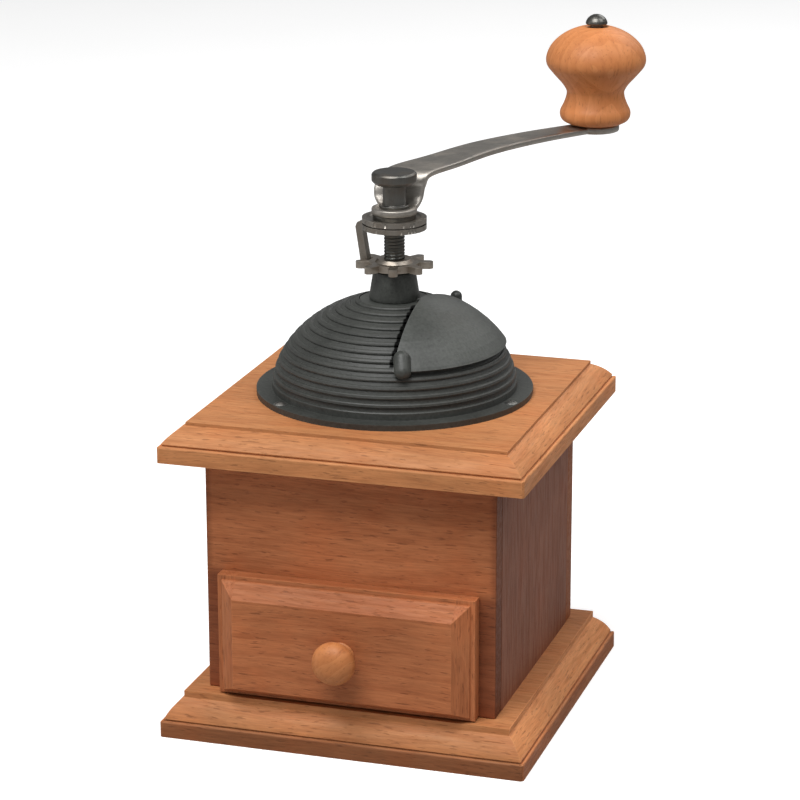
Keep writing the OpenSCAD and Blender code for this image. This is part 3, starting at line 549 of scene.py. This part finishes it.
# spindle: plain where it runs in its bushes, screw thread above the neck, thin stud on top
def spindle_mesh():
    low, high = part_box("spindle")
    neck_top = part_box("neck_sleeve")[1][2]
    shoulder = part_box("crank_arm")[0][2] + 2.5 * MM
    crest, root, stud, chamfer = 3.9 * MM, 3.65 * MM, 2.9 * MM, 0.4 * MM
    pitch, around = 1.25 * MM, 48
    thread_low = neck_top + 0.3 * MM
    heights = [low[2], low[2] + 0.5 * MM, thread_low]
    z = heights[-1]
    step = pitch / 10
    while z + step < shoulder - 0.4 * MM:
        z += step
        heights.append(z)
    heights += [shoulder - 0.2 * MM, shoulder]
    verts, faces = [], []
    for h in heights:
        # the thread runs out over a millimetre at either end
        fade = max(0.0, min(1.0, (h - thread_low) / (1.2 * MM), (shoulder - 0.3 * MM - h) / (1.0 * MM)))
        for i in range(around):
            a = 2 * math.pi * i / around
            phase = ((h - low[2]) / pitch - i / around) % 1.0
            tooth = min(1.0, max(0.0, 1.35 - abs(phase - 0.5) * 3.4))
            r = crest - (crest - root) * fade * (1 - tooth)
            if h == low[2]:
                r = crest - chamfer
            verts.append((r * math.cos(a), r * math.sin(a), h))
    for r, h in ((stud, shoulder), (stud, high[2] - chamfer), (stud - chamfer, high[2])):
        verts += [(r * math.cos(2 * math.pi * i / around), r * math.sin(2 * math.pi * i / around), h)
                  for i in range(around)]
    rows = len(verts) // around
    for k in range(rows - 1):
        for i in range(around):
            j = (i + 1) % around
            faces.append((k * around + i, k * around + j, (k + 1) * around + j, (k + 1) * around + i))
    faces.append(tuple(range(around))[::-1])
    faces.append(tuple(range((rows - 1) * around, rows * around)))
    return verts, faces


mesh_piece("spindle_threaded", *spindle_mesh(), "spindle", "crank_and_burr", "spindle_steel", "spindle")


# crank arm: a forged strap with rounded edges that swells into an eye at each end
def arm_mesh():
    low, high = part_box("crank_arm")
    end_eye_t = 2.6
    eye_z, end_z = low[2] / MM, high[2] / MM - end_eye_t
    gx, gy = grip_place.translation[0] / MM, grip_place.translation[1] / MM
    # points along the strap's middle: x, y, height, width, and how far the width turns from straight across
    path = [
        [0, 4.2, eye_z + 1.25, 12, 34], [-0.4, 6.4, eye_z + 1.6, 15, 38], [-1, 8.6, eye_z + 4.2, 18.2, 41],
        [-0.8, 10.4, eye_z + 8.6, 19, 38], [1.4, 14.6, eye_z + 12.6, 18.6, 22],
        [gx * 0.2, gy * 0.31, end_z - 2.4, 17, 6], [gx * 0.4, gy * 0.505, end_z - 0.3, 15, 1],
        [gx * 0.67, gy * 0.735, end_z + 0.9, 12.6, 0], [gx, gy, end_z + 1.3, 10.5, 0]]
    own_way = math.atan2(gy, gx)
    line = spline(path, 12)
    verts, faces = [], []
    ring = 28
    half_t = 1.2
    for i, p in enumerate(line):
        a, b = line[max(i - 1, 0)], line[min(i + 1, len(line) - 1)]
        run = Vector((b[0] - a[0], b[1] - a[1], b[2] - a[2])).normalized()
        way = own_way + math.radians(p[4])
        side = Vector((-math.sin(way), math.cos(way), 0))
        up = run.cross(side).normalized()
        c = Vector(p[:3])
        half_w = p[3] / 2
        for k in range(ring):
            t = 2 * math.pi * k / ring
            x, y = math.cos(t), math.sin(t)
            # flat faces with a rounded edge as wide as half the strap's thickness
            fx = math.copysign(abs(x) ** 0.16, x)
            fy = math.copysign(abs(y) ** 0.42, y)
            v = (c + side * fx * half_w + up * fy * half_t) * MM
            v.z = max(v.z, low[2] + 0.05 * MM)
            verts.append(v)
    n = len(line)
    for i in range(n - 1):
        for k in range(ring):
            m = (k + 1) % ring
            faces.append((i * ring + k, i * ring + m, (i + 1) * ring + m, (i + 1) * ring + k))
    faces.append(tuple(range(ring))[::-1])
    faces.append(tuple(range((n - 1) * ring, n * ring)))

    def eye(cx, cy, z, r, bore, t, s):
        place = Matrix.Translation((cx * MM, cy * MM, z * MM))
        prof = outline([("line", [(bore, 0), (r - s, 0), (r - s * 0.3, s * 0.3), (r, s), (r, t - s),
                                  (r - s * 0.3, t - s * 0.3), (r - s, t), (bore + 0.3, t), (bore, t - 0.3)])])
        v, f = lathe(prof, place, 72)
        start = len(verts)
        verts.extend(v)
        faces.extend(tuple(start + q for q in face) for face in f)

    eye(0, 0, eye_z, 8.45, 3.92, 2.5, 0.5)
    eye(gx, gy, end_z, 9.4, 2.52, end_eye_t, 0.6)
    return verts, faces


mesh_piece("arm_forged", *arm_mesh(), "arm", "crank_and_burr", "crank_steel", "crank_arm")


# spring of round wire
def spring_mesh(low_z, high_z):
    coil_r, wire = 6.2 * MM, 0.7 * MM
    turns, steps, sides = 9, 40, 12
    z0, z1 = low_z + wire, high_z - wire
    verts, faces = [], []
    total = turns * steps
    for i in range(total + 1):
        a = 2 * math.pi * i / steps
        c = Vector((coil_r * math.cos(a), coil_r * math.sin(a), z0 + (z1 - z0) * i / total))
        out = Vector((math.cos(a), math.sin(a), 0))
        for k in range(sides):
            b = 2 * math.pi * k / sides
            verts.append(c + out * wire * math.cos(b) + Vector((0, 0, wire * math.sin(b))))
    for i in range(total):
        for k in range(sides):
            m = (k + 1) % sides
            faces.append((i * sides + k, i * sides + m, (i + 1) * sides + m, (i + 1) * sides + k))
    faces.append(tuple(range(sides))[::-1])
    faces.append(tuple(range(total * sides, (total + 1) * sides)))
    return verts, faces


# the coil fills the spring's place, its top under the adjusting nut, and is attached to no body
spring_low, spring_high = (corner[2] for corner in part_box("spindle_spring"))
coil = mesh_piece("spring_coil", *spring_mesh(spring_low, spring_high), "spring", None, "spring_steel",
                  "spindle_spring")
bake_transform(coil)


# ---------------------------------------------------------------- floor, light, camera
floor_data = bpy.data.meshes.new("floor")
floor_data.from_pydata([(-4, -4, 0), (4, -4, 0), (4, 6, 0), (-4, 6, 0)], [], [(0, 1, 2, 3)])
floor = bpy.data.objects.new("floor", floor_data)
scene.collection.objects.link(floor)
# the camera sees a bright sheet of paper, while less of its light is thrown back at the object
paper = Shader("floor_paper", 0.9)
seen = paper.tree.nodes.new("ShaderNodeLightPath").outputs["Is Camera Ray"]
fine = paper.grey(paper.ramp(paper.noise(paper.place, 9, 2), 0.3, 0.7, 0.99, 1.0))
sheet = paper.mix("MIX", seen, (0.42, 0.41, 0.40), (0.92, 0.92, 0.92))
paper.bsdf.inputs["Emission Color"].default_value = (1, 1, 1, 1)
paper.put(paper.bsdf.inputs["Emission Strength"], paper.math("MULTIPLY", seen, 0.42))
floor_data.materials.append(paper.done(paper.mix("MULTIPLY", 1.0, sheet, fine)))

world = bpy.data.worlds.new("studio")
scene.world = world
world.use_nodes = True
sky = world.node_tree.nodes["Background"]
sky_path = world.node_tree.nodes.new("ShaderNodeLightPath").outputs["Is Camera Ray"]
sky_level = world.node_tree.nodes.new("ShaderNodeMapRange")
sky_level.inputs["To Min"].default_value = 0.24
sky_level.inputs["To Max"].default_value = 1.0
world.node_tree.links.new(sky_path, sky_level.inputs["Value"])
world.node_tree.links.new(sky_level.outputs[0], sky.inputs["Strength"])
sky.inputs["Color"].default_value = (1.0, 1.0, 1.0, 1)


def softbox(name, place, aim_z, size, power):
    data = bpy.data.lights.new(name, "AREA")
    data.shape = "RECTANGLE"
    data.size, data.size_y = size
    data.energy = power
    o = bpy.data.objects.new(name, data)
    o.location = place
    o.rotation_mode = "QUATERNION"
    o.rotation_quaternion = (Vector(place) - Vector((0, 0, aim_z))).to_track_quat("Z", "Y")
    scene.collection.objects.link(o)


softbox("key", (-0.18, -0.80, 1.65), 0.1, (1.1, 1.1), 30)
softbox("left_fill", (-1.5, -0.5, 0.5), 0.12, (0.8, 1.0), 2)
softbox("right_top", (0.75, 0.05, 1.15), 0.1, (0.7, 0.7), 3.6)
softbox("back_rim", (0.5, 1.3, 1.2), 0.12, (1.2, 0.7), 6)

azimuth, elevation, roll = math.radians(17.43), math.radians(16.85), math.radians(-0.13)
distance = 1.1364
target = Vector((0.00204, 0.0, 0.11702))
level = math.cos(elevation)
back = Vector((math.sin(azimuth) * level, -math.cos(azimuth) * level, math.sin(elevation)))
right = Vector((math.cos(azimuth), math.sin(azimuth), 0))
up = back.cross(right)
turned_right = right * math.cos(roll) + up * math.sin(roll)
turned_up = up * math.cos(roll) - right * math.sin(roll)
camera_data = bpy.data.cameras.new("camera")
camera_data.lens = 136.27
camera_data.sensor_width = 36
camera_data.clip_start = 0.05
camera = bpy.data.objects.new("camera", camera_data)
turned = Matrix((turned_right, turned_up, back)).transposed().to_4x4()
camera.matrix_world = Matrix.Translation(target + back * distance) @ turned
scene.collection.objects.link(camera)
scene.camera = camera
scene.view_settings.view_transform = "Standard"
